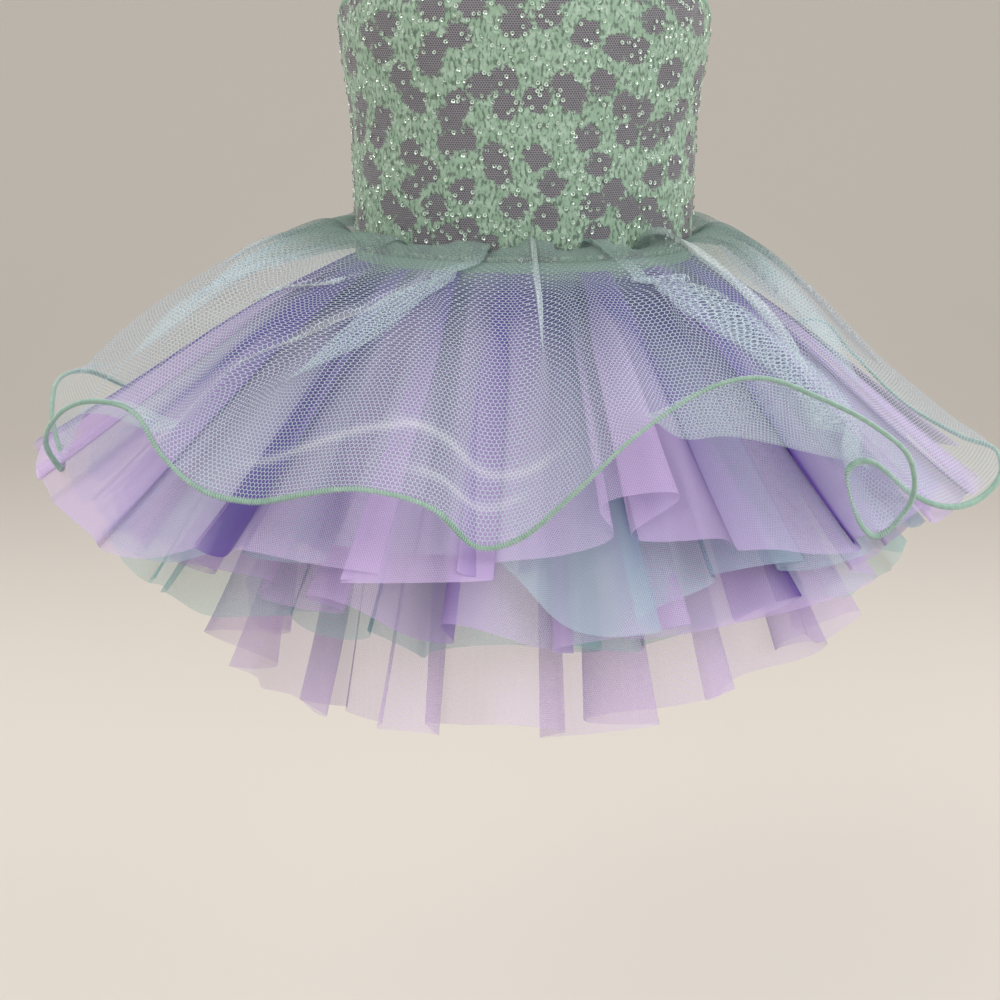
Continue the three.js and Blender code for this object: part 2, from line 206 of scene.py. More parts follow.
# The net's pleats, by the cut: the azimuth at the waist where a pleat starts, how far it drifts round on
# the way to the hem, its width in degrees, how far its cloth doubles over, how far it stands out in mm,
# and how far down it starts and ends.
NET_PLEATS = (
    (1.5, 3, 1.3, 1.40, 2.6, 0.00, 0.80),
    (-11, -3, 2.6, 1.25, 1.0, 0.00, 0.55),
    (-8, -36, 5.5, 1.45, 2.4, 0.16, 0.92),
    (-14, -45, 1.6, 1.35, 1.8, 0.22, 0.95),
    (-12, -85, 2.0, 1.40, 1.8, 0.24, 0.66),
    (-52, -26, 3.4, 1.60, -2.2, 0.00, 0.80),
    (-12, 100, 4.6, 1.75, -2.6, 0.30, 0.98),
    (19, 12, 2.4, 1.50, 2.0, 0.00, 0.62),
    (40, 30, 2.0, 1.45, -1.8, 0.00, 0.70),
    (72, 12, 3.8, 1.70, 2.4, 0.00, 0.85),
    (98, -14, 3.0, 1.60, -2.0, 0.00, 0.80),
    (121, 10, 4.4, 1.80, 2.6, 0.00, 0.88),
    (143, -8, 2.2, 1.45, 1.8, 0.00, 0.75),
    (162, 14, 3.8, 1.70, -2.4, 0.00, 0.82),
    (-177, -10, 2.0, 1.40, 1.8, 0.00, 0.90),
    (-158, 8, 4.2, 1.80, 2.6, 0.00, 0.80),
    (-137, -12, 2.6, 1.55, -2.0, 0.00, 0.72),
    (-116, 10, 3.6, 1.70, 2.4, 0.00, 0.90),
    (-96, -16, 2.4, 1.50, 1.8, 0.00, 0.70),
    (-74, 6, 3.8, 1.65, -2.2, 0.00, 0.80),
)
NARROW_PLEAT = 2.1  # degrees: a narrower one is pressed to a line that gets a painted highlight
NARROW_ROLL = 0.02  # of the depth: a narrower one is pressed too, and gets the same painted highlight
# The net's rolls, which lie across it: where a roll starts and ends by the cut, how far down at each end,
# how wide it is as a share of the depth, how far it doubles over, and how far it stands out.
NET_ROLLS = (
    (-2, 38, 0.30, 0.40, 0.060, 0.50, 1.6),
    (-35, -11, 0.94, 0.81, 0.013, 0.30, 0.7),
    (-19, 8, 0.81, 0.89, 0.013, 0.30, 0.7),
    (-16, 3, 0.94, 0.92, 0.009, 0.20, 0.4),
)
NET_GATHERS = 33  # small gathers round the waist
RIGHT_SAG = 11.0  # degrees by which the +X side sags more, just below the waist

# The weaves: hole and thread in mm, how much one ply veils between its threads, and the most that many do.
NET = {"hole": 2.4, "thread": 0.31, "haze": 0.06, "veil_most": 0.85}
TULLE = {"hole": 1.25, "thread": 0.16, "haze": 0.31, "veil_most": 0.88}
THREAD_COVER = 0.85  # how much a thread hides

# The lace: flowers and the gaps between them to a metre, how far its pattern wanders, and its mesh.
LACE = {"flowers": 46.0, "gaps": 50.0, "gap_reach": 0.37, "wander": 0.007, "mesh_hole": 1.4 * MM,
        "petals": 5, "relief": 0.6 * MM}
KNIT_STITCH = 0.8  # across one stitch of the knit

# The meshes: columns round and rows down, and how many straight widths of cloth a skirt is joined from.
TIER_GRID = (1300, 30)
OVERSKIRT_GRID = (1120, 88)
BODICE_GRID = (300, 70)
BRIEF_STEPS = 48
STRAP_STEPS = 64
TULLE_WIDTHS = 36
NET_WIDTHS = 40

LACE_THICKNESS = 0.9
KNIT_THICKNESS = 0.8
STITCH_HEIGHT = 1.7


def oval(half_width, half_depth, azimuth):
    """Points of an oval at azimuths in radians, and the directions straight out of it."""
    x = half_width * np.sin(azimuth)
    y = -half_depth * np.cos(azimuth)
    out_x = half_depth * np.sin(azimuth)
    out_y = -half_width * np.cos(azimuth)
    size = np.hypot(out_x, out_y)
    return x, y, out_x / size, out_y / size


def eased(table, key, place, column):
    """A column of a table between its rows, level at every row."""
    keys = np.asarray(table[key], float)
    values = np.asarray(table[column], float)
    place = np.clip(place, keys[0], keys[-1])
    low = np.clip(np.searchsorted(keys, place, side="right") - 1, 0, len(keys) - 2)
    share = (place - keys[low]) / (keys[low + 1] - keys[low])
    share = (1 - np.cos(np.pi * share)) / 2
    return values[low] + (values[low + 1] - values[low]) * share


def flowing(table, key, place, column, turn=0.0):
    """A column of a closed table between its rows, as one smooth curve through them."""
    keys = np.asarray(table[key], float)
    values = np.asarray(table[column], float)
    span = keys[-1] - keys[0]
    around_keys = np.concatenate([keys[-4:-1] - span, keys, keys[1:4] + span])
    around_values = np.concatenate([values[-4:-1] - turn, values, values[1:4] + turn])
    slopes = np.gradient(around_values, around_keys)
    low = np.clip(np.searchsorted(around_keys, place, side="right") - 1, 0, len(around_keys) - 2)
    width = around_keys[low + 1] - around_keys[low]
    t = (place - around_keys[low]) / width
    a, b = around_values[low], around_values[low + 1]
    return ((2 * t**3 - 3 * t**2 + 1) * a + (t**3 - 2 * t**2 + t) * width * slopes[low]
            + (3 * t**2 - 2 * t**3) * b + (t**3 - t**2) * width * slopes[low + 1])


def angle_between(azimuth, place):
    """The angle from a place to an azimuth, from -180 to 180 degrees."""
    return (azimuth - place + 180) % 360 - 180


def azimuths_round(columns):
    """Each column's azimuth in degrees, from the centre back round to it again."""
    return (np.arange(columns) / columns * 360 - 180)[:, None]


def smooth_step(low, high, value):
    """0 up to low and 1 from high, with a soft step between them."""
    t = np.clip((value - low) / (high - low), 0, 1)
    return t * t * (3 - 2 * t)


def soft_noise(seed, *coordinates):
    """A smooth, repeatable unevenness from -1 to 1 that closes round the body."""
    draw = np.random.default_rng(seed)
    total = 0.0
    for _ in range(5):
        phase = draw.uniform(0, 2 * math.pi)
        wave = phase
        for coordinate, (low, high) in coordinates:
            wave = wave + coordinate * draw.integers(low, high + 1)
        total = total + np.sin(wave)
    return total / 3.2


# ---- Meshes ----


def new_piece(name, mesh, material):
    """A piece of the costume or the stage, at the origin, with its one material."""
    piece = bpy.data.objects.new(name, mesh)
    bpy.context.scene.collection.objects.link(piece)
    mesh.materials.append(material)
    return piece


def cloth_mesh(name, points, places, closed, values=None):
    """A sheet of cloth from a grid of points in millimetres, columns first. A closed one joins round.

    places holds each face's left and right place across the cut, and the distance down it; values holds
    what else the finish reads at each point.
    """
    columns, rows = points.shape[:2]
    mesh = bpy.data.meshes.new(name)
    spans = columns if closed else columns - 1
    i, j = np.meshgrid(np.arange(spans), np.arange(rows - 1), indexing="ij")
    after = (i + 1) % columns
    quads = np.stack([i * rows + j, i * rows + j + 1, after * rows + j + 1, after * rows + j], -1)
    quads = quads.reshape(-1, 4)
    mesh.vertices.add(columns * rows)
    mesh.vertices.foreach_set("co", (points.reshape(-1, 3) * MM).ravel())
    mesh.loops.add(quads.size)
    mesh.loops.foreach_set("vertex_index", quads.ravel())
    mesh.polygons.add(len(quads))
    mesh.polygons.foreach_set("loop_start", np.arange(len(quads)) * 4)
    mesh.update(calc_edges=True)
    left, right, depth = places
    depth_after = np.roll(depth, -1, axis=0)
    corners = np.stack([
        np.stack([left[:spans, :-1], depth[:spans, :-1]], -1),
        np.stack([left[:spans, 1:], depth[:spans, 1:]], -1),
        np.stack([right[:spans, 1:], depth_after[:spans, 1:]], -1),
        np.stack([right[:spans, :-1], depth_after[:spans, :-1]], -1),
    ], 2)
    layer = mesh.uv_layers.new(name="cut")
    layer.data.foreach_set("uv", (corners * MM).astype(np.float32).ravel())
    for label, value in (values or {}).items():
        attribute = mesh.attributes.new(label, "FLOAT", "POINT")
        attribute.data.foreach_set("value", value.astype(np.float32).ravel())
    mesh.polygons.foreach_set("use_smooth", np.ones(len(quads), bool))
    mesh.update()
    return mesh


def band_mesh(name, middle, out, half_width, half_depth, sides, closed, flatness=1.0):
    """A narrow band along a line in millimetres, a flat tube that out points away from.

    The smaller the flatness, the squarer its section. A closed band joins round.
    """
    if closed:
        along = np.roll(middle, -1, axis=0) - np.roll(middle, 1, axis=0)
    else:
        along = np.gradient(middle, axis=0)
    along /= np.linalg.norm(along, axis=1, keepdims=True)
    out = out - along * (out * along).sum(axis=1, keepdims=True)
    out /= np.linalg.norm(out, axis=1, keepdims=True)
    turn = np.linspace(0, 2 * np.pi, sides, endpoint=False)
    reach = half_width * np.sign(np.cos(turn)) * np.abs(np.cos(turn)) ** flatness
    lift = half_depth * np.sign(np.sin(turn)) * np.abs(np.sin(turn)) ** flatness
    rings = (middle[:, None] + np.cross(along, out)[:, None] * reach[None, :, None]
             + out[:, None] * lift[None, :, None])
    columns = len(rings)
    spans = columns if closed else columns - 1
    faces = [(i * sides + k, (i + 1) % columns * sides + k, (i + 1) % columns * sides + (k + 1) % sides,
              i * sides + (k + 1) % sides) for i in range(spans) for k in range(sides)]
    if not closed:
        faces += [tuple(range(sides)), tuple(reversed(range(spans * sides, columns * sides)))]
    mesh = bpy.data.meshes.new(name)
    mesh.from_pydata((rings.reshape(-1, 3) * MM).tolist(), [], faces)
    steps = np.linalg.norm(np.roll(middle, -1, axis=0) - middle, axis=1)
    length = np.concatenate([[0], np.cumsum(steps)])
    girth = np.concatenate([[0], np.cumsum(np.hypot(np.diff(reach, append=reach[0]),
                                                    np.diff(lift, append=lift[0])))])
    i, k = np.meshgrid(np.arange(spans), np.arange(sides), indexing="ij")
    corners = np.stack([np.stack([girth[k + b], length[i + a]], -1)
                        for a, b in ((0, 0), (1, 0), (1, 1), (0, 1))], 2).reshape(-1, 2)
    places = np.zeros((len(mesh.loops), 2))
    places[:len(corners)] = corners
    mesh.uv_layers.new(name="cut").data.foreach_set("uv", (places * MM).astype(np.float32).ravel())
    mesh.polygons.foreach_set("use_smooth", np.ones(len(faces), bool))
    mesh.update()
    return mesh


def steps_round(points):
    """The length of the step from each column to the next, round a closed sheet."""
    return np.linalg.norm(np.roll(points, -1, axis=0) - points, axis=2)


def normals_of(points):
    """Outward normals of a closed grid whose columns go round and whose rows go down."""
    across = np.roll(points, -1, axis=0) - np.roll(points, 1, axis=0)
    down = np.gradient(points, axis=1)
    normal = np.cross(down, across)
    return normal / np.maximum(np.linalg.norm(normal, axis=2, keepdims=True), 1e-9)


def crowding(points, most):
    """How many plies lie in the space of one, where the gathers draw the cloth in by its waist."""
    steps = steps_round(points)
    kernel = np.ones(25) / 25
    around = np.concatenate([steps[-12:], steps, steps[:12]])
    even = np.apply_along_axis(lambda column: np.convolve(column, kernel, "valid"), 0, around)
    return np.clip(np.median(even[:, -1]) / np.maximum(even, 1e-3), 1, most)


def cut_places(points, panels):
    """Where each place lies on the cloth, in mm, measured along the cloth itself from each panel's middle.

    Returns the places at a face's left and right columns, and the distance down.
    """
    steps = steps_round(points)
    columns = len(points)
    total = np.concatenate([np.zeros((1, points.shape[1])), np.cumsum(steps, axis=0)])
    panel = np.arange(columns) * panels // columns
    middle = ((panel + 0.5) * columns / panels).astype(int)
    left = total[:-1] - total[middle] + total[middle, -1:]
    right = total[1:] - total[middle] + total[middle, -1:]
    depth = np.concatenate([np.zeros((columns, 1)),
                            np.cumsum(np.linalg.norm(np.diff(points, axis=1), axis=2), axis=1)], 1)
    return left, right, depth


# ---- Shader sums ----


class Sum:
    """A node's output that Python's operators extend with Math nodes."""

    def __init__(self, finish, socket):
        self.finish = finish
        self.socket = socket

    def math(self, operation, *others):
        return self.finish.add("ShaderNodeMath", {"operation": operation}, [self, *others])

    def __add__(self, other):
        return self.math("ADD", other)

    __radd__ = __add__

    def __sub__(self, other):
        return self.math("SUBTRACT", other)

    def __rsub__(self, other):
        return self.finish.add("ShaderNodeMath", {"operation": "SUBTRACT"}, [other, self])

    def __mul__(self, other):
        return self.math("MULTIPLY", other)

    __rmul__ = __mul__

    def __truediv__(self, other):
        return self.math("DIVIDE", other)

    def __rtruediv__(self, other):
        return self.finish.add("ShaderNodeMath", {"operation": "DIVIDE"}, [other, self])

    def least(self, other):
        return self.math("MINIMUM", other)

    def most(self, other):
        return self.math("MAXIMUM", other)

    def size(self):
        return self.math("ABSOLUTE")

    def below(self, edge, softness):
        """1 where the value is under an edge, falling to 0 over a softness."""
        settings = {"interpolation_type": "SMOOTHSTEP", "clamp": True}
        inputs = {"Value": self, "From Min": edge - softness, "From Max": edge + softness,
                  "To Min": 1.0, "To Max": 0.0}
        return self.finish.add("ShaderNodeMapRange", settings, inputs)

    def above(self, edge, softness):
        return 1 - self.below(edge, softness)


class Finish:
    """A material, and the one way that its nodes are made."""

    def __init__(self, name):
        self.material = bpy.data.materials.new(name)
        self.material.use_nodes = True
        self.tree = self.material.node_tree
        self.shader = self.tree.nodes["Principled BSDF"]

    def node(self, kind, settings=None, inputs=()):
        node = self.tree.nodes.new(kind)
        for key, value in (settings or {}).items():
            setattr(node, key, value)
        pairs = inputs.items() if isinstance(inputs, dict) else enumerate(inputs)
        for key, value in pairs:
            self.set(node.inputs[key], value)
        return node

    def add(self, kind, settings=None, inputs=(), output=0):
        return Sum(self, self.node(kind, settings, inputs).outputs[output])

    def set(self, socket, value):
        if isinstance(value, Sum):
            self.tree.links.new(value.socket, socket)
        else:
            socket.default_value = value

    def mix(self, share, low, high):
        """A colour from one to another by a share."""
        node = self.node("ShaderNodeMix", {"data_type": "RGBA"})
        self.set(node.inputs[0], share)
        self.set(node.inputs[6], low)
        self.set(node.inputs[7], high)
        return Sum(self, node.outputs[2])

    def cut_place(self):
        """The place on the cloth as it was cut, in metres: across and down."""
        place = self.node("ShaderNodeUVMap", {"uv_map": "cut"})
        parts = self.node("ShaderNodeSeparateXYZ", None, [Sum(self, place.outputs[0])])
        return Sum(self, parts.outputs[0]), Sum(self, parts.outputs[1])

    def attribute(self, name):
        return self.add("ShaderNodeAttribute", {"attribute_name": name}, (), "Fac")

    def noise(self, place, scale, detail, output=0):
        inputs = {"Vector": place, "Scale": scale, "Detail": detail}
        return self.add("ShaderNodeTexNoise", None, inputs, output)

    def object_noise(self, scale, detail):
        return self.noise(self.add("ShaderNodeTexCoord", None, (), "Object"), scale, detail)

    def hex_edge(self, across, down, hole):
        """How near a place is to the middle of a six-sided hole's edge: 0.5 there, 0 at its centre."""
        rise = math.sqrt(3)
        x = across / hole
        y = down / (hole * rise)

        def six_sided(shift):
            a = (x + shift).math("FRACT") - 0.5
            b = ((y + shift).math("FRACT") - 0.5) * rise
            a, b = a.size(), b.size()
            return a.most(a * 0.5 + b * (rise / 2))

        return six_sided(0.0).least(six_sided(0.5))

    def bump(self, height, distance, strength):
        return self.add("ShaderNodeBump", None,
                        {"Height": height, "Distance": distance, "Strength": strength})


def linear(red, green, blue):
    """A colour from its screen values of 0 to 255."""
    return (*(((part / 255 + 0.055) / 1.055) ** 2.4 for part in (red, green, blue)), 1.0)


# ---- Finishes ----


def sheer_finish(name, colour, gathered_shade_colour, weave, pressed_highlight_colour=None):
    """Net or tulle: fine threads round six-sided holes, crowding together where the gathers draw it in. A
    mask mixes in a darker colour there: partly the deeper colour of crowded and doubled plies, partly painted
    shade near the waist. Sharp folds can take a near-white painted highlight.
    """
    finish = Finish(name)
    across, down = finish.cut_place()
    plies = finish.attribute("plies")
    edge = finish.hex_edge(across, down, weave["hole"] * MM)
    threads = edge.above(0.5 - weave["thread"] / weave["hole"] / 2, 0.06)
    veil = 1 - (plies * math.log(1 - weave["haze"])).math("EXPONENT")
    # The darker colour this mask mixes in is partly the deeper colour of crowded plies and partly painted
    # shade near the waist.
    tint = finish.mix(finish.attribute("gathered_shade"), colour, gathered_shade_colour)
    # The near-white colour on the sharp folds is a painted highlight.
    if pressed_highlight_colour:
        tint = finish.mix(finish.attribute("pressed_highlight"), tint, pressed_highlight_colour)
    finish.set(finish.shader.inputs["Base Color"], tint)
    finish.set(finish.shader.inputs["Alpha"], (threads * THREAD_COVER).most(veil.least(weave["veil_most"])))
    finish.shader.inputs["Roughness"].default_value = 0.6
    finish.shader.inputs["Specular IOR Level"].default_value = 0.0
    return finish.material


def satin_finish(name, colour, low_colour):
    """Close satin stitching: silky threads that lie side by side across the edge."""
    finish = Finish(name)
    place = finish.object_noise(220.0, 2.0)
    finish.set(finish.shader.inputs["Base Color"], finish.mix(place, low_colour, colour))
    finish.shader.inputs["Roughness"].default_value = 0.38
    finish.shader.inputs["Sheen Weight"].default_value = 0.4
    return finish.material


def lace_finish(name, green, pale_green, mauve, dark):
    """Mint stretch lace: flowers with lobed petals and close leaves, on a mauve-grey mesh."""
    finish = Finish(name)
    across, down = finish.cut_place()
    place = finish.add("ShaderNodeCombineXYZ", None, [across, down, 0.0])
    ripple = finish.noise(place, 190.0, 3.0, 1)
    bent = finish.add("ShaderNodeVectorMath", {"operation": "MULTIPLY_ADD"},
                      [ripple, (LACE["wander"],) * 3, place])
    petal, lobes = flowers(finish, bent, LACE["flowers"], LACE["petals"])
    gaps = finish.add("ShaderNodeTexVoronoi", {"feature": "F1", "voronoi_dimensions": "2D"},
                      {"Vector": bent, "Scale": LACE["gaps"], "Randomness": 0.9}, "Distance")
    ragged = (finish.noise(place, 420.0, 3.0) - 0.5) * 0.4
    ground = (gaps + lobes * 0.03 + ragged).below(LACE["gap_reach"], 0.05)
    strokes_place = finish.add("ShaderNodeVectorMath", {"operation": "MULTIPLY"}, [place, (1.0, 0.42, 1.0)])
    strokes = finish.noise(strokes_place, 620.0, 4.0)
    rim = petal.above(0.72, 0.06) * petal.below(0.93, 0.05)
    heart = petal.below(0.24, 0.05)
    holes = finish.hex_edge(across, down, LACE["mesh_hole"]).below(0.33, 0.06)
    paler = (strokes * 1.5 - 0.45 + rim * 0.45 + heart * 0.3 + lobes * 0.15).least(1.0).most(0.0)
    lace_colour = finish.mix(paler, green, pale_green)
    lace_colour = finish.mix((strokes.below(0.44, 0.05) * 0.6).least(1.0), lace_colour, dark)
    ground_colour = finish.mix(holes * 0.85, mauve, dark)
    finish.set(finish.shader.inputs["Base Color"], finish.mix(ground, lace_colour, ground_colour))
    relief = (1 - ground) * 0.6 + rim * 0.3 + strokes * 0.5 - ground * holes * 0.3
    finish.set(finish.shader.inputs["Normal"], finish.bump(relief, LACE["relief"], 0.9))
    finish.shader.inputs["Roughness"].default_value = 0.62
    finish.shader.inputs["Sheen Weight"].default_value = 0.15
    return finish.material


def flowers(finish, place, per_metre, petals):
    """How far out on the nearest flower a place is, 1 at its lobed edge, and how near a petal's middle."""
    cells = finish.node("ShaderNodeTexVoronoi", {"feature": "F1"},
                        {"Vector": place, "Scale": per_metre, "Randomness": 0.75})
    middle = Sum(finish, cells.outputs["Position"])
    out = finish.add("ShaderNodeVectorMath", {"operation": "SUBTRACT"}, [place, middle])
    parts = finish.node("ShaderNodeSeparateXYZ", None, [out])
    turn = Sum(finish, parts.outputs[1]).math("ARCTAN2", Sum(finish, parts.outputs[0]))
    spin = finish.node("ShaderNodeSeparateXYZ", None, [Sum(finish, cells.outputs["Color"])])
    lobes = (turn * petals + Sum(finish, spin.outputs[0]) * 6.28).math("COSINE")
    distance = Sum(finish, cells.outputs["Distance"])
    return distance / (lobes * 0.1 + 0.55), lobes


def knit_finish(name, colour, low_colour):
    """A fine stretch knit."""
    finish = Finish(name)
    across, down = finish.cut_place()
    knit = finish.hex_edge(across, down, KNIT_STITCH * MM)
    finish.set(finish.shader.inputs["Base Color"], finish.mix(knit * 1.4, low_colour, colour))
    finish.set(finish.shader.inputs["Normal"], finish.bump(knit, 0.0002, 0.6))
    finish.shader.inputs["Roughness"].default_value = 0.75
    return finish.material


def sequin_finish(name, colour):
    """A small bright cup of plated film."""
    finish = Finish(name)
    speck = finish.object_noise(300.0, 1.0)
    finish.set(finish.shader.inputs["Base Color"], finish.mix(speck, colour, linear(226, 240, 226)))
    finish.set(finish.shader.inputs["Metallic"], speck.above(0.56, 0.04) * 0.9)
    finish.shader.inputs["Roughness"].default_value = 0.22
    return finish.material


def floor_finish(name, colour):
    """A matt floor."""
    finish = Finish(name)
    finish.shader.inputs["Base Color"].default_value = colour
    finish.shader.inputs["Roughness"].default_value = 0.9
    return finish.material


# ---- Settings ----


class SkirtSettings(bpy.types.PropertyGroup):
    """Sizes and colours of the overskirt and the tiers."""

    net_colour: bpy.props.FloatVectorProperty(
        name="Net", description="Colour of the stiff mint net", subtype="COLOR", size=4,
        default=linear(208, 226, 232))
    # The gathered net's darker colour is partly its many plies and partly painted shade.
    net_gathered_shade_colour: bpy.props.FloatVectorProperty(
        name="Gathered net", description="Colour of the net where it is gathered", subtype="COLOR", size=4,
        default=linear(146, 168, 160))
    lilac: bpy.props.FloatVectorProperty(
        name="Lilac", description="Colour of the lilac tulle", subtype="COLOR", size=4,
        default=linear(226, 202, 246))
    aqua: bpy.props.FloatVectorProperty(
        name="Aqua", description="Colour of the aqua tulle", subtype="COLOR", size=4,
        default=linear(206, 228, 242))
    mint: bpy.props.FloatVectorProperty(
        name="Mint", description="Colour of the mint tulle", subtype="COLOR", size=4,
        default=linear(170, 215, 212))
    edge_colour: bpy.props.FloatVectorProperty(
        name="Rolled edge", description="Colour of the satin stitching", subtype="COLOR", size=4,
        default=linear(192, 222, 208))
    edge_width: bpy.props.FloatProperty(
        name="Edge width", description="Width of the rolled edge", subtype="DISTANCE", unit="LENGTH",
        default=3.1 * MM, min=1 * MM, max=8 * MM)
    stitch_pitch: bpy.props.FloatProperty(
        name="Stitch pitch", description="From one satin stitch to the next", subtype="DISTANCE",
        unit="LENGTH", default=1.6 * MM, min=0.5 * MM, max=5 * MM)


class BodiceSettings(bpy.types.PropertyGroup):
    """Sizes and colours of the bodice, its straps and its sequins."""

    lace_green: bpy.props.FloatVectorProperty(
        name="Lace", description="Colour of the lace", subtype="COLOR", size=4, default=linear(136, 166, 140))
    mesh_mauve: bpy.props.FloatVectorProperty(
        name="Mesh", description="Colour of the mesh under the lace", subtype="COLOR", size=4,
        default=linear(142, 138, 144))
    sequin_size: bpy.props.FloatProperty(
        name="Sequin", description="Width of a sequin", subtype="DISTANCE", unit="LENGTH",
        default=2.5 * MM, min=1 * MM, max=6 * MM)
    sequins_per_square_metre: bpy.props.FloatProperty(
        name="Sequins", description="Sequins on a square metre of lace", default=24000.0, min=0.0)


class StageSettings(bpy.types.PropertyGroup):
    """The camera, the floor and the lights."""

    distance: bpy.props.FloatProperty(
        name="Distance", description="From the camera to the costume", subtype="DISTANCE", unit="LENGTH",
        default=1.4)
    elevation: bpy.props.FloatProperty(
        name="Elevation", description="How far the camera looks down", subtype="ANGLE",
        default=math.radians(14))
    frame_width: bpy.props.FloatProperty(
        name="Frame", description="Width that the picture takes in at the costume", subtype="DISTANCE",
        unit="LENGTH", default=0.6)


# ---- Surfaces, in millimetres ----


def shared_flute(azimuth):
    """The swing up and down that all tiers share, so that they nest."""
    evenness = 0.8 + 0.2 * np.sin(3 * azimuth + 0.8)
    return SHARED_SWING * evenness * np.sin(SHARED_FLUTES * azimuth + 0.9 * np.sin(2 * azimuth + 0.5))


def skirt_points(azimuth, along, fall, seat):
    """Points that lie along straight lines out of the waist's oval, each at its fall below level."""
    x, y, out_x, out_y = oval(WAIST_HALF_WIDTH, WAIST_HALF_DEPTH, azimuth)
    reach = START_REACH + along * np.cos(fall)
    return np.stack([x + out_x * reach, y + out_y * reach, seat - along * np.sin(fall)], -1)


def pleat_table(tier):
    """A tier's pleats: listed where they show, and elsewhere uneven, from the tier's seed."""
    draw = np.random.default_rng(tier["seed"])
    by_hand = LONG_TIER_PLEATS if tier["piece"] == "tier_5_lilac" else ()
    start, span = (72, 216) if by_hand else (draw.uniform(0, 360), 360)
    rows = list(by_hand)
    for step in range(tier["pleats"]):
        azimuth = start + span * (step + draw.uniform(-0.32, 0.32)) / tier["pleats"]
        width = tier["pleat_width"] * draw.uniform(0.45, 1.25)
        rows.append((azimuth, width, draw.uniform(0.9, 2.0), draw.uniform(-4, 4)))
    return rows


def tier_points(tier, columns, rows):
    """A tulle tier whose pleats double back on themselves."""
    base = azimuths_round(columns)
    turn = np.radians(base)
    down = np.linspace(0, 1, rows)[None, :]
    side = np.sin(turn) ** 2
    seed = tier["seed"]
    shift = np.zeros_like(base)
    raised = np.zeros_like(base)
    step = np.zeros_like(base)
    for place, width, overlap, hem_step in pleat_table(tier):
        away = angle_between(base, place) / width
        bell = np.exp(0.5 - away**2 / 2)
        shift -= overlap * width * away * bell
        raised -= 1.3 * away * bell * (1 if hem_step > 0 else -1)
        step += hem_step * np.tanh(2 * away) * np.exp(-(away / 3) ** 2)
    sway = 1.1 * soft_noise(seed + 1, (turn, (3, 14))) * down**2
    azimuth = np.radians(base + shift * (0.55 + 0.45 * smooth_step(0, 0.35, down)) + sway)
    standing = tier["front_fall"] + (tier["side_fall"] - tier["front_fall"]) * side
    standing = standing + tier["lean"] * np.sin(turn)
    flutes = tier["sharing"] * shared_flute(turn) + 1.6 * soft_noise(seed + 2, (turn, (9, 26)))
    fall = np.radians(standing - TIER_SPRING * (1 - down) ** 2 + flutes * (0.25 + 0.75 * down))
    length = tier["front_length"] + (tier["side_length"] - tier["front_length"]) * side
    length = length * (1 - LOPSIDEDNESS * np.sin(turn)) + step + 1.8 * soft_noise(seed + 3, (turn, (8, 40)))
    for place, spread, longer in TIER_DROOPS[tier["piece"]]:
        length = length + longer * np.exp(-((angle_between(base, place) / spread) ** 2))
    points = skirt_points(azimuth, length * down, fall, -tier["seat"] + 0 * azimuth)
    return points + (raised * (0.4 + 0.6 * down))[..., None] * normals_of(points)


def stripes(rows_by_hand, columns, rows):
    """How far a tier is doubled, from 1 down to -1 where it lies single."""
    base = azimuths_round(columns)
    down = np.linspace(0, 1, rows)[None, :]
    doubled = np.zeros((columns, rows))
    for azimuth, drift, half_width, strength in rows_by_hand:
        away = np.abs(angle_between(base - azimuth, drift * down)) / half_width
        doubled += strength * (1 - smooth_step(0.8, 1.15, away))
    return np.clip(doubled, -1, 1)


def overskirt_points(columns, rows, pleats=True):
    """The overskirt, out from the waist and down to its curling hem, with its pleats or without."""
    share = (np.arange(columns) / columns)[:, None]
    down = np.linspace(0, 1, rows)[None, :]
    cut = -180 + 360 * share
    raised = 0.0
    side_shift = 0.0
    path = down
    if pleats:
        side_shift, raised, _ = net_pleats(cut, down)
        roll_shift, roll_raised, _ = net_rolls(cut, down)
        path = np.clip(down + roll_shift, 0, 1)
        raised = raised + roll_raised
    hem = flowing(HEM, "share", share, "azimuth", 360)
    spread = smooth_step(0.25, 1.0, down) * 0.45 + 0.55 * down**1.5
    azimuth = cut + (hem - cut) * spread + side_shift
    fall = flowing(HEM, "share", share, "fall") * path**OVERSKIRT_CURVE
    fall = fall + OVERSKIRT_BULGE * path * (1 - path) ** 2 - OVERSKIRT_PUFF * (1 - path) ** 2
    dip = smooth_step(0.3, HEM_TURN, path) - smooth_step(HEM_TURN, 1.0, path)
    fall = fall + flowing(HEM, "share", share, "lip") * dip
    fall = fall + flowing(HEM, "share", share, "swell") * 4 * path * (1 - path)
    fall = fall + RIGHT_SAG * np.exp(-(((cut - 88) / 34) ** 2)) * 6.75 * path * (1 - path) ** 2
    if pleats:
        fall = fall + gather_swing(np.radians(cut), down)
    along = flowing(HEM, "share", share, "length") * path
    points = skirt_points(np.radians(azimuth), along, np.radians(fall), OVERSKIRT_SEAT + 0 * azimuth)
    if pleats:
        points[..., 2] += waist_bubbles(np.radians(cut), down)
    return points + (raised + 0 * azimuth)[..., None] * normals_of(points)


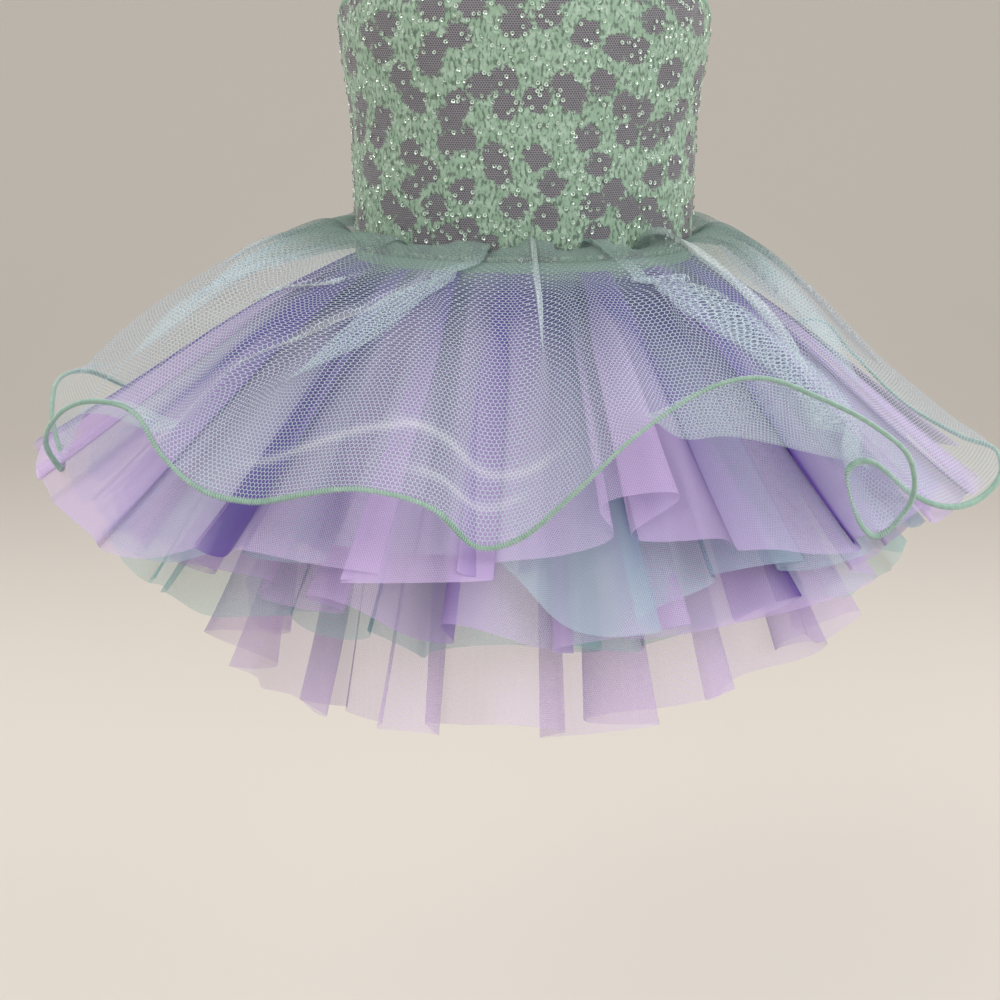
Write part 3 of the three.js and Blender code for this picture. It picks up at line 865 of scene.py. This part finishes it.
def net_pleats(cut, down):
    """The net's pleats: degrees drawn sideways, mm standing out, and how sharply each place is creased, which
    also sets a painted highlight there.
    """
    shift = np.zeros(np.broadcast(cut, down).shape)
    raised = np.zeros_like(shift)
    pressed_highlight = np.zeros_like(shift)
    for waist, drift, width, overlap, lift, start, end in NET_PLEATS:
        away = angle_between(cut - waist, drift * down) / width
        bell = np.exp(0.5 - away**2 / 2)
        fade = 1 - smooth_step(0.5 * end, end, down)
        if start:
            fade = fade * smooth_step(start, start + 0.14, down)
        shift -= overlap * width * away * bell * fade
        raised -= lift * away * bell * fade * smooth_step(0.0, 0.08, down)
        if width < NARROW_PLEAT:
            pressed_highlight += np.exp(-((away / 0.8) ** 2)) * fade * smooth_step(0.02, 0.16, down)
    turn = np.radians(cut)
    fade = np.exp(-down / 0.2) * (0.75 + 0.6 * soft_noise(41, (turn, (3, 11))))
    bend = NET_GATHERS * turn + 1.6 * soft_noise(42, (turn, (2, 6)))
    shift -= np.degrees(0.95 * fade * np.sin(2 * bend) / NET_GATHERS)
    raised += 1.4 * fade * np.sin(bend) * smooth_step(0.0, 0.06, down)
    return shift, raised, pressed_highlight


def net_rolls(cut, down):
    """The net's rolls: shares drawn along the cloth, mm standing out, and how sharply each place is creased,
    which also sets a painted highlight there.
    """
    shift = np.zeros(np.broadcast(cut, down).shape)
    raised = np.zeros_like(shift)
    pressed_highlight = np.zeros_like(shift)
    for start, end, start_down, end_down, width, overlap, lift in NET_ROLLS:
        share = np.clip((cut - start) / (end - start), 0, 1)
        middle = start_down + (end_down - start_down) * share
        ends = smooth_step(0.0, 0.25, share) * (1 - smooth_step(0.75, 1.0, share))
        away = (down - middle) / width
        bell = np.exp(0.5 - away**2 / 2)
        shift -= overlap * width * away * bell * ends
        raised -= lift * away * bell * ends
        if width < NARROW_ROLL:
            pressed_highlight += np.exp(-(away**2)) * ends
    return shift, raised, pressed_highlight


def gather_swing(waist, down):
    """How the gathers swing up and down as they run out from the waist, in degrees."""
    broad = np.sin(23 * waist + 2.6 * soft_noise(33, (waist, (2, 6))))
    broad = broad * (0.7 + 0.4 * soft_noise(34, (waist, (3, 9))))
    return 3.2 * broad * np.exp(-down / 0.3) * smooth_step(0, 0.12, down)


def waist_bubbles(waist, down):
    """How far the bunched net bubbles up over the waist seam, in millimetres."""
    height = np.clip(6.0 + 5.0 * soft_noise(51, (waist, (5, 19))), 1.5, 12.5)
    return height * (down / 0.07) * np.exp(1 - down / 0.07)


def torso(height, azimuth):
    """Points of the torso's oval at a height above the waist, and the directions straight out of it."""
    return oval(eased(TORSO, "height", height, "half_width"), eased(TORSO, "height", height, "half_depth"),
                azimuth)


def bodice_points(columns, rows):
    """The bodice, from its curved upper edge down to the waist seam."""
    azimuth = (np.arange(columns) / columns * 2 * np.pi - np.pi)[:, None]
    down = np.linspace(0, 1, rows)[None, :]
    top = eased(BODICE_EDGE, "azimuth", np.abs(np.degrees(azimuth)), "height")
    height = top * (1 - down)
    x, y, _, _ = torso(height, azimuth)
    return np.stack([x, y, height], -1)


def strap_line(side, steps):
    """The middle of a strap, sewn inside the bodice at both ends, and the direction out of the body."""
    azimuth = np.radians([STRAP["azimuth"], 180 - STRAP["azimuth"]])
    top = eased(BODICE_EDGE, "azimuth", np.degrees(azimuth), "height")
    x, y, _, _ = torso(top, azimuth)
    along = np.linspace(0, 1, steps)
    turn = np.pi * along
    line = np.stack([x[0] + (x[1] - x[0]) * along, y[0] + (y[1] - y[0]) * (1 - np.cos(turn)) / 2,
                     top[0] + (top[1] - top[0]) * along + STRAP["rise"] * np.sin(turn)], -1)
    tuck = [line[end] * [0.985, 0.985, 1] - [0, 0, STRAP["tuck"]] for end in (0, -1)]
    line = np.concatenate([tuck[:1], line, tuck[1:]])
    turn = np.concatenate([[0], turn, [np.pi]])
    across = np.stack([np.ones(steps + 2), STRAP["twist"] * np.cos(turn), np.zeros(steps + 2)], -1)
    out = np.cross(across, np.gradient(line, axis=0))
    return line * [side, 1, 1], out * [side, 1, 1]


def brief_points(front, columns, rows):
    """The front or, with front at -1, the back of the brief, cut away for the legs."""
    across = np.linspace(-1, 1, columns)[:, None]
    row = np.linspace(0, len(BRIEF["drop"]) - 1, rows)[None, :]
    steps = np.arange(len(BRIEF["drop"]))

    def at(column):
        return np.interp(row, steps, BRIEF[column])

    x = at("cut_half_width") * np.sin(across * np.pi / 2)
    y = at("half_depth") * np.sqrt(np.maximum(0, 1 - (x / at("half_width")) ** 2))
    return np.stack([front * x, -front * y, -at("drop") + 0 * x], -1)


# ---- Operators ----


class COSTUME_OT_tiers(bpy.types.Operator):
    """Make the five tulle tiers"""

    bl_idname = "costume.tiers"
    bl_label = "Tulle tiers"

    def execute(self, context):
        skirt = context.scene.costume_skirt
        # Each tulle's own pale colour, and a deep colour: painted shade for the crowded cloth by the waist,
        # and the deeper colour of doubled plies.
        colours = {
            "tulle_lilac": (skirt.lilac, linear(110, 84, 170)),
            "tulle_aqua": (skirt.aqua, linear(36, 46, 124)),
            "tulle_mint": (skirt.mint, linear(84, 150, 168)),
        }
        finishes = {slot: sheer_finish(slot, tuple(pale), deep_shade, TULLE)
                    for slot, (pale, deep_shade) in colours.items()}
        for row in TIERS:
            tier = dict(zip(TIER_COLUMNS, row))
            points = tier_points(tier, *TIER_GRID)
            plies = crowding(points, 3.0)
            # How far the colour turns to the deep colour: painted shade where the tier crowds by the waist,
            # more where the cloth is doubled, and some random unevenness.
            gathered_shade = np.clip((plies - 1) / 0.95, 0, 1)
            doubled = stripes(TIER_STRIPES[tier["piece"]], *points.shape[:2])
            down = np.linspace(0, 1, points.shape[1])
            plies = plies * tier["closeness"] * np.where(doubled > 0, 1 + 0.9 * doubled,
                                                             1 + (0.9 - 0.5 * down) * doubled)
            turn = np.linspace(-np.pi, np.pi, points.shape[0])[:, None]
            cloudy = soft_noise(tier["seed"] + 5, (turn, (4, 17)), (down[None, :], (2, 6)))
            gathered_shade = np.clip(gathered_shade * 0.85 + 0.14 * np.maximum(doubled, 0) + 0.08 * cloudy, 0, 1)
            values = {"plies": plies, "gathered_shade": gathered_shade}
            mesh = cloth_mesh(tier["piece"], points, cut_places(points, TULLE_WIDTHS), True, values)
            piece = new_piece(tier["piece"], mesh, finishes[tier["slot"]])
            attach(piece, "root")
            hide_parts(f"{tier['piece']}_front", f"{tier['piece']}_back")
            declare_gathered(piece, points)
        return {"FINISHED"}


def declare_gathered(piece, points):
    """Works out a skirt sheet's hem length, its depth from the waist to the hem and its area, and keeps none
    of them.
    """
    width = steps_round(points)[:, -1].sum() * MM
    depth = np.linalg.norm(np.diff(points, axis=1), axis=2).sum(axis=1).mean() * MM
    area = sum(face.area for face in piece.data.polygons)
    area = min(max(area, 0.3 * width * depth), width * depth)


class COSTUME_OT_overskirt(bpy.types.Operator):
    """Make the sheer net overskirt and its rolled edge"""

    bl_idname = "costume.overskirt"
    bl_label = "Overskirt"

    def execute(self, context):
        skirt = context.scene.costume_skirt
        finish = sheer_finish("net_mint", tuple(skirt.net_colour), tuple(skirt.net_gathered_shade_colour), NET,
                              linear(252, 255, 255))
        columns, rows = OVERSKIRT_GRID
        points = overskirt_points(columns, rows)
        cut, down = azimuths_round(columns), np.linspace(0, 1, rows)[None, :]
        # The sharp folds: more plies, and a near-white painted highlight.
        pressed_highlight = net_pleats(cut, down)[2] + net_rolls(cut, down)[2]
        bunched = 1 - smooth_step(0.12, 0.37 + 0.05 * soft_noise(61, (np.radians(cut), (4, 20))), down)
        seam = 1 - smooth_step(0.06, 0.17, down) + 0 * cut
        puff = np.exp(-(((cut - 16) / 13) ** 2) - ((down - 0.13) / 0.09) ** 2)
        # The bunched net and its puff take the darker colour: partly for their many plies, partly as painted
        # shade.
        values = {"plies": 1 + 6 * bunched + 5 * puff + 6 * pressed_highlight + 5 * seam,
                  "gathered_shade": np.minimum(bunched + 0.5 * puff, 1), "pressed_highlight": np.minimum(0.6 * pressed_highlight, 1)}
        places = cut_places(overskirt_points(columns, rows, pleats=False), NET_WIDTHS)
        mesh = cloth_mesh("overskirt_net", points, places, True, values)
        net = new_piece("overskirt_net", mesh, finish)
        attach(net, "root")
        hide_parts("overskirt_net_front", "overskirt_net_back")
        declare_gathered(net, points)
        stitching = satin_finish("satin_stitch", tuple(skirt.edge_colour), linear(142, 180, 162))
        middle, out = edge_line(points, skirt.edge_width / MM)
        core = band_mesh("rolled_edge", middle, out, 0.36 * skirt.edge_width / MM, 0.5, 10, True)
        edge = new_piece("rolled_edge", core, stitching)
        stitches = new_piece("edge_stitches", edge_line_mesh(middle, out), stitching)
        grow(stitches, stitch_tree(stitching),
             {"Pitch": skirt.stitch_pitch, "Width": skirt.edge_width, "Height": STITCH_HEIGHT * MM})
        for piece in (edge, stitches):
            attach(piece, "root")
        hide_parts("rolled_edge_front", "rolled_edge_back")
        return {"FINISHED"}


def edge_line(points, width):
    """The middle of the rolled edge, just beyond the hem, and the direction straight out of the cloth."""
    onward = points[:, -1] - points[:, -2]
    onward /= np.linalg.norm(onward, axis=1, keepdims=True)
    normal = normals_of(points)[:, -1]
    normal -= onward * (normal * onward).sum(axis=1, keepdims=True)
    normal /= np.linalg.norm(normal, axis=1, keepdims=True)
    return points[:, -1] + onward * (0.3 + width / 2), normal


def edge_line_mesh(middle, out):
    """The line that the stitches follow, which knows which way is out of the cloth."""
    columns = len(middle)
    mesh = bpy.data.meshes.new("edge_stitches")
    mesh.from_pydata((middle * MM).tolist(), [(i, (i + 1) % columns) for i in range(columns)], [])
    attribute = mesh.attributes.new("out", "FLOAT_VECTOR", "POINT")
    attribute.data.foreach_set("vector", out.astype(np.float32).ravel())
    return mesh


class NodeGroup:
    """A Geometry Nodes tree, the one way that its nodes are made, and its named inputs."""

    def __init__(self, name, inputs):
        self.tree = bpy.data.node_groups.new(name, "GeometryNodeTree")
        self.tree.interface.new_socket("Geometry", in_out="INPUT", socket_type="NodeSocketGeometry")
        for label, default in inputs.items():
            socket = self.tree.interface.new_socket(label, in_out="INPUT", socket_type="NodeSocketFloat")
            socket.default_value = default
        self.tree.interface.new_socket("Geometry", in_out="OUTPUT", socket_type="NodeSocketGeometry")
        self.start = self.tree.nodes.new("NodeGroupInput")
        self.end = self.tree.nodes.new("NodeGroupOutput")

    def input(self, label):
        return self.start.outputs[label]

    def node(self, kind, settings=None, inputs=None):
        node = self.tree.nodes.new(kind)
        for key, value in (settings or {}).items():
            setattr(node, key, value)
        for key, value in (inputs or {}).items():
            if isinstance(value, bpy.types.NodeSocket):
                self.tree.links.new(value, node.inputs[key])
            else:
                node.inputs[key].default_value = value
        return node

    def add(self, kind, settings=None, inputs=None):
        return self.node(kind, settings, inputs).outputs[0]

    def finish(self, geometry, material):
        real = self.add("GeometryNodeRealizeInstances", None, {"Geometry": geometry})
        finished = self.add("GeometryNodeSetMaterial", None, {"Geometry": real, "Material": material})
        self.tree.links.new(finished, self.end.inputs[0])
        return self.tree


def stitch_tree(material):
    """Satin stitches: close loops of thread wrapped round an edge, a little aslant."""
    group = NodeGroup("satin_stitches", {"Pitch": 1.2 * MM, "Width": 4.4 * MM, "Height": 2 * MM})
    line = group.add("GeometryNodeMeshToCurve", None, {"Mesh": group.input("Geometry")})
    spaced = group.add("GeometryNodeResampleCurve", {"mode": "LENGTH"},
                       {"Curve": line, "Length": group.input("Pitch")})
    tangent = group.add("GeometryNodeInputTangent")
    out = group.add("GeometryNodeInputNamedAttribute", {"data_type": "FLOAT_VECTOR"}, {"Name": "out"})
    facing = group.add("FunctionNodeAxesToRotation", {"primary_axis": "Z", "secondary_axis": "Y"},
                       {"Primary Axis": tangent, "Secondary Axis": out})
    slant = group.add("FunctionNodeRotateRotation", {"rotation_space": "LOCAL"},
                      {"Rotation": facing, "Rotate By": (0.0, math.radians(16), 0.0)})
    loop = group.add("GeometryNodeCurvePrimitiveCircle", {"mode": "RADIUS"}, {"Resolution": 8, "Radius": 0.5})
    size = group.add("ShaderNodeCombineXYZ", None,
                     {"X": group.input("Width"), "Y": group.input("Height"), "Z": 1.0})
    flat_loop = group.add("GeometryNodeTransform", None, {"Geometry": loop, "Scale": size})
    thread = group.add("GeometryNodeCurvePrimitiveCircle", {"mode": "RADIUS"},
                       {"Resolution": 3, "Radius": 0.5 * MM})
    stitch = group.add("GeometryNodeCurveToMesh", None, {"Curve": flat_loop, "Profile Curve": thread})
    smooth = group.add("GeometryNodeSetShadeSmooth", None, {"Geometry": stitch})
    placed = group.add("GeometryNodeInstanceOnPoints", None,
                       {"Points": spaced, "Instance": smooth, "Rotation": slant})
    return group.finish(placed, material)


def sequin_tree(material, seed=7):
    """Cup sequins with a pierced middle, scattered over the lace and tipped every way a little."""
    group = NodeGroup("sequins", {"Size": 2.1 * MM, "Density": 20000.0, "Tilt": 0.35})
    scatter = group.node("GeometryNodeDistributePointsOnFaces", {"distribute_method": "POISSON"},
                         {"Mesh": group.input("Geometry"), "Density Max": group.input("Density"),
                          "Distance Min": 2.3 * MM, "Seed": seed})
    lifted = group.add("ShaderNodeVectorMath", {"operation": "SCALE"},
                       {"Vector": scatter.outputs["Normal"], "Scale": 0.35 * MM})
    points = group.add("GeometryNodeSetPosition", None,
                       {"Geometry": scatter.outputs["Points"], "Offset": lifted})
    back = group.add("ShaderNodeMath", {"operation": "MULTIPLY"}, {0: group.input("Tilt"), 1: -1.0})
    low = group.add("ShaderNodeCombineXYZ", None, {"X": back, "Y": back, "Z": 0.0})
    high = group.add("ShaderNodeCombineXYZ", None,
                     {"X": group.input("Tilt"), "Y": group.input("Tilt"), "Z": 6.28})
    tip = group.add("FunctionNodeRandomValue", {"data_type": "FLOAT_VECTOR"},
                    {0: low, 1: high, "Seed": seed + 1})
    facing = group.add("FunctionNodeRotateRotation", {"rotation_space": "LOCAL"},
                       {"Rotation": scatter.outputs["Rotation"], "Rotate By": tip})
    spin = group.add("GeometryNodeCurvePrimitiveCircle", {"mode": "RADIUS"},
                     {"Resolution": 9, "Radius": 0.36})
    slope = group.add("GeometryNodeCurvePrimitiveLine", {"mode": "POINTS"},
                      {"Start": (-0.14, 0.07, 0.0), "End": (0.14, -0.07, 0.0)})
    cup = group.add("GeometryNodeCurveToMesh", None, {"Curve": spin, "Profile Curve": slope})
    placed = group.add("GeometryNodeInstanceOnPoints", None,
                       {"Points": points, "Instance": cup, "Rotation": facing, "Scale": group.input("Size")})
    return group.finish(placed, material)


def grow(piece, tree, values):
    """Runs a Geometry Nodes tree on a piece and leaves a plain mesh."""
    modifier = piece.modifiers.new(tree.name, "NODES")
    modifier.node_group = tree
    sockets = {item.name: item.identifier for item in tree.interface.items_tree if item.in_out == "INPUT"}
    for label, value in values.items():
        modifier[sockets[label]] = value
    apply_modifiers(piece)


def thicken(piece, thickness):
    """Gives a sheet its thickness, inwards, and leaves a plain mesh."""
    solid = piece.modifiers.new("thickness", "SOLIDIFY")
    solid.thickness = thickness
    solid.offset = -1
    apply_modifiers(piece)


def apply_modifiers(piece):
    """Leaves a piece as the plain mesh that its modifiers make."""
    shape = bpy.data.meshes.new_from_object(piece.evaluated_get(bpy.context.evaluated_depsgraph_get()))
    piece.modifiers.clear()
    piece.data = shape


class COSTUME_OT_bodice(bpy.types.Operator):
    """Make the lace bodice, its sequins and its straps"""

    bl_idname = "costume.bodice"
    bl_label = "Bodice"

    def execute(self, context):
        bodice = context.scene.costume_bodice
        finish = lace_finish("lace", tuple(bodice.lace_green), linear(172, 198, 176),
                             tuple(bodice.mesh_mauve), linear(64, 66, 70))
        points = bodice_points(*BODICE_GRID)
        piece = new_piece("bodice", cloth_mesh("bodice", points, body_places(points), True), finish)
        film = sequin_finish("sequin_film", linear(176, 206, 184))
        sequins = new_piece("sequins", piece.data.copy(), film)
        sequins.data.materials.clear()
        grow(sequins, sequin_tree(film),
             {"Size": bodice.sequin_size, "Density": bodice.sequins_per_square_metre, "Tilt": 0.4})
        thicken(piece, LACE_THICKNESS * MM)
        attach(piece, "root")
        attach(sequins, "root")
        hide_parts("bodice_front", "bodice_back")
        width = steps_round(points)[:, -1].sum() * MM
        binding = knit_finish("binding", linear(166, 198, 172), linear(110, 140, 118))
        for name, side in (("strap_left", 1), ("strap_right", -1)):
            line, out = strap_line(side, STRAP_STEPS)
            band = band_mesh(name + "_band", line, out, STRAP["width"] / 2, STRAP["thickness"] / 2, 24,
                             False, 0.5)
            strap = new_piece(name + "_band", band, binding)
            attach(strap, "root")
            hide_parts(name)
        out = points[:, 0] * [1, 1, 0]
        out /= np.linalg.norm(out, axis=1, keepdims=True)
        band = band_mesh("neck_binding", points[:, 0] - out * 0.45, out, 2.2, 1.1, 8, True)
        edge = new_piece("neck_binding", band, binding)
        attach(edge, "root")
        return {"FINISHED"}


def body_places(points):
    """Where each place of the bodice lies on its cloth: round the body, and by height."""
    steps = np.repeat(steps_round(points)[:, -1:], points.shape[1], 1)
    right = np.cumsum(steps, axis=0)
    return right - steps, right, points[:, :, 2]


class COSTUME_OT_brief(bpy.types.Operator):
    """Make the brief"""

    bl_idname = "costume.brief"
    bl_label = "Brief"

    def execute(self, context):
        finish = knit_finish("brief", linear(160, 190, 174), linear(110, 140, 126))
        for name, front in (("brief_front", 1), ("brief_back", -1)):
            points = brief_points(front, BRIEF_STEPS, BRIEF_STEPS)
            left, depth = np.meshgrid(np.linspace(-105, 105, BRIEF_STEPS) * 1.5,
                                      np.linspace(0, 230, BRIEF_STEPS), indexing="ij")
            mesh = cloth_mesh(name + "_knit", points, (left, left + 6.7, depth), False)
            piece = new_piece(name + "_knit", mesh, finish)
            thicken(piece, KNIT_THICKNESS * MM)
            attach(piece, "root")
            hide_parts(name)
        return {"FINISHED"}


CAMERA_AIM = (-0.0138, 0.0, -0.154)
BACKDROP = {"floor_height": -0.62, "back": 3.8, "radius": 1.6, "size": 9.0}
ROOM_LIGHT = 0.64
SHEETS_SEEN_THROUGH = 14
# The lights: where each stands, where it shines, its width in metres, its watts and its colour.
LIGHTS = (
    ("key", (-1.2, -1.6, 1.5), (0, 0, -0.1), 1.4, 19, linear(255, 252, 248)),
    ("fill", (1.5, -1.2, 0.9), (0, 0, -0.1), 1.4, 18, linear(250, 252, 255)),
    ("back_left", (-1.3, 0.9, 0.7), (0, 0, -0.2), 1.0, 9, linear(255, 252, 248)),
    ("back_right", (1.3, 0.9, 0.7), (0, 0, -0.2), 1.0, 9, linear(255, 252, 248)),
)


class COSTUME_OT_stage(bpy.types.Operator):
    """Make the floor, the lights and the camera"""

    bl_idname = "costume.stage"
    bl_label = "Stage"

    def execute(self, context):
        stage = context.scene.costume_stage
        ground = sweep_mesh(**BACKDROP)
        floor = new_piece("floor", ground, floor_finish("floor", linear(228, 222, 214)))
        target = np.array(CAMERA_AIM)
        tilt = stage.elevation
        place = target + stage.distance * np.array([0.0, -math.cos(tilt), math.sin(tilt)])
        data = bpy.data.cameras.new("camera")
        data.sensor_width = 36.0
        data.lens = 36.0 * stage.distance / stage.frame_width
        camera = bpy.data.objects.new("camera", data)
        camera.location = place
        camera.rotation_euler = (math.pi / 2 - tilt, 0, 0)
        context.scene.collection.objects.link(camera)
        context.scene.camera = camera
        for light in LIGHTS:
            add_light(*light)
        world = bpy.data.worlds.new("studio")
        world.use_nodes = True
        world.node_tree.nodes["Background"].inputs[0].default_value = linear(238, 236, 234)
        world.node_tree.nodes["Background"].inputs[1].default_value = ROOM_LIGHT
        context.scene.world = world
        context.scene.cycles.transparent_max_bounces = SHEETS_SEEN_THROUGH
        context.scene.cycles.diffuse_bounces = 2
        context.scene.view_settings.view_transform = "Standard"
        return {"FINISHED"}


def sweep_mesh(floor_height, back, radius, size):
    """A floor that curves up into a backdrop."""
    profile = [(-size, floor_height), (back - radius, floor_height)]
    for step in range(1, 13):
        angle = math.pi / 2 * step / 12
        profile.append((back - radius + radius * math.sin(angle),
                        floor_height + radius * (1 - math.cos(angle))))
    profile.append((back, floor_height + size))
    verts = [(x, y, z) for y, z in profile for x in (-size, size)]
    faces = [(2 * i, 2 * i + 1, 2 * i + 3, 2 * i + 2) for i in range(len(profile) - 1)]
    mesh = bpy.data.meshes.new("floor")
    mesh.from_pydata(verts, [], faces)
    mesh.polygons.foreach_set("use_smooth", np.ones(len(faces), bool))
    mesh.update()
    return mesh


def add_light(name, place, aim, size, power, colour):
    """A round soft light that shines at a point."""
    data = bpy.data.lights.new(name, "AREA")
    data.shape = "DISK"
    data.size = size
    data.energy = power
    data.color = colour[:3]
    light = bpy.data.objects.new(name, data)
    light.location = place
    light.rotation_euler = (Vector(aim) - Vector(place)).to_track_quat("-Z", "Y").to_euler()
    bpy.context.scene.collection.objects.link(light)


class COSTUME_PT_panel(bpy.types.Panel):
    """The costume's pieces"""

    bl_idname = "COSTUME_PT_panel"
    bl_label = "Ballet costume"
    bl_space_type = "VIEW_3D"
    bl_region_type = "UI"
    bl_category = "Costume"

    def draw(self, context):
        for operator in PIECE_OPERATORS:
            self.layout.operator(operator.bl_idname)


PIECE_OPERATORS = (COSTUME_OT_stage, COSTUME_OT_bodice, COSTUME_OT_brief, COSTUME_OT_overskirt,
                   COSTUME_OT_tiers)
SETTINGS = {"costume_skirt": SkirtSettings, "costume_bodice": BodiceSettings, "costume_stage": StageSettings}


def register():
    for group in SETTINGS.values():
        bpy.utils.register_class(group)
    for name, group in SETTINGS.items():
        setattr(bpy.types.Scene, name, bpy.props.PointerProperty(type=group))
    for item in (*PIECE_OPERATORS, COSTUME_PT_panel):
        bpy.utils.register_class(item)


def unregister():
    for item in reversed((*PIECE_OPERATORS, COSTUME_PT_panel)):
        bpy.utils.unregister_class(item)
    for name, group in SETTINGS.items():
        delattr(bpy.types.Scene, name)
        bpy.utils.unregister_class(group)


def main():
    register()
    for operator in PIECE_OPERATORS:
        group, name = operator.bl_idname.split(".")
        getattr(getattr(bpy.ops, group), name)()


if __name__ == "__main__":
    main()
